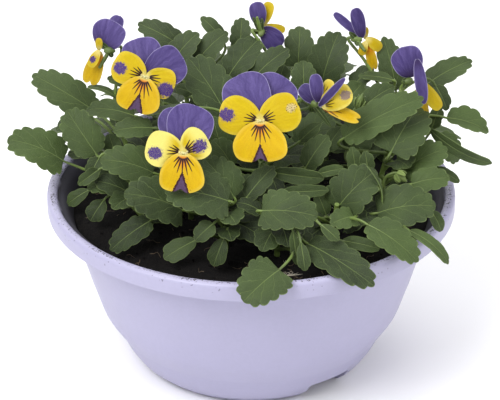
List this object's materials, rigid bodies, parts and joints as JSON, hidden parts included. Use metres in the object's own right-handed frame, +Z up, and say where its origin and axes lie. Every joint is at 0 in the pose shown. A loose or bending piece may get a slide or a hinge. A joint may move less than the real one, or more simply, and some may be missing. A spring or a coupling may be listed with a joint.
{
  "type": "potted horned violet",
  "caption": "Round planting bowl of soil with a bushy horned violet: crenate leaves on leafy stems, and blooms with violet upper and yellow lower petals.",
  "frame": {"origin": "on the bowl's axis, level with the ground that its foot ring stands on", "axes": "+Z up along the bowl's axis, -Y to the front that the open blooms face, +X to the right of someone who stands in front"},
  "size_m": [0.2677, 0.2559, 0.2],
  "materials": {
    "lilac_plastic": "satin moulded plastic, pale lilac",
    "peat": "damp dark peat, crumbly and fibrous",
    "leaf_green": "matte leaf with a faint bloom",
    "petal_violet": "velvety petal, violet",
    "petal_yellow": "velvety petal, yellow"
  },
  "bodies": {
    "root": {"bowl": "lilac_plastic", "soil": "peat", "stem_back": "leaf_green", "stem_back_left": "leaf_green", "stem_back_right": "leaf_green", "stem_centre": "leaf_green", "stem_centre_back": "leaf_green", "stem_front": "leaf_green", "stem_front_left": "leaf_green", "stem_front_right": "leaf_green", "stem_left": "leaf_green", "stem_left_back": "leaf_green", "stem_left_front": "leaf_green", "stem_mid_left": "leaf_green", "stem_right": "leaf_green", "stem_right_back": "leaf_green", "stem_right_front": "leaf_green", "bloom_centre_violet": "petal_violet", "bloom_centre_yellow": "petal_yellow", "bloom_front_violet": "petal_violet", "bloom_front_yellow": "petal_yellow", "bloom_half_open_violet": "petal_violet", "bloom_half_open_yellow": "petal_yellow", "bloom_left_violet": "petal_violet", "bloom_left_yellow": "petal_yellow", "bloom_right_violet": "petal_violet", "bloom_right_yellow": "petal_yellow", "bloom_top_right_violet": "petal_violet", "bloom_top_right_yellow": "petal_yellow", "bloom_top_violet": "petal_violet", "bloom_top_yellow": "petal_yellow", "bloom_upper_left_violet": "petal_violet", "bloom_upper_left_yellow": "petal_yellow"}
  },
  "joints": []
}
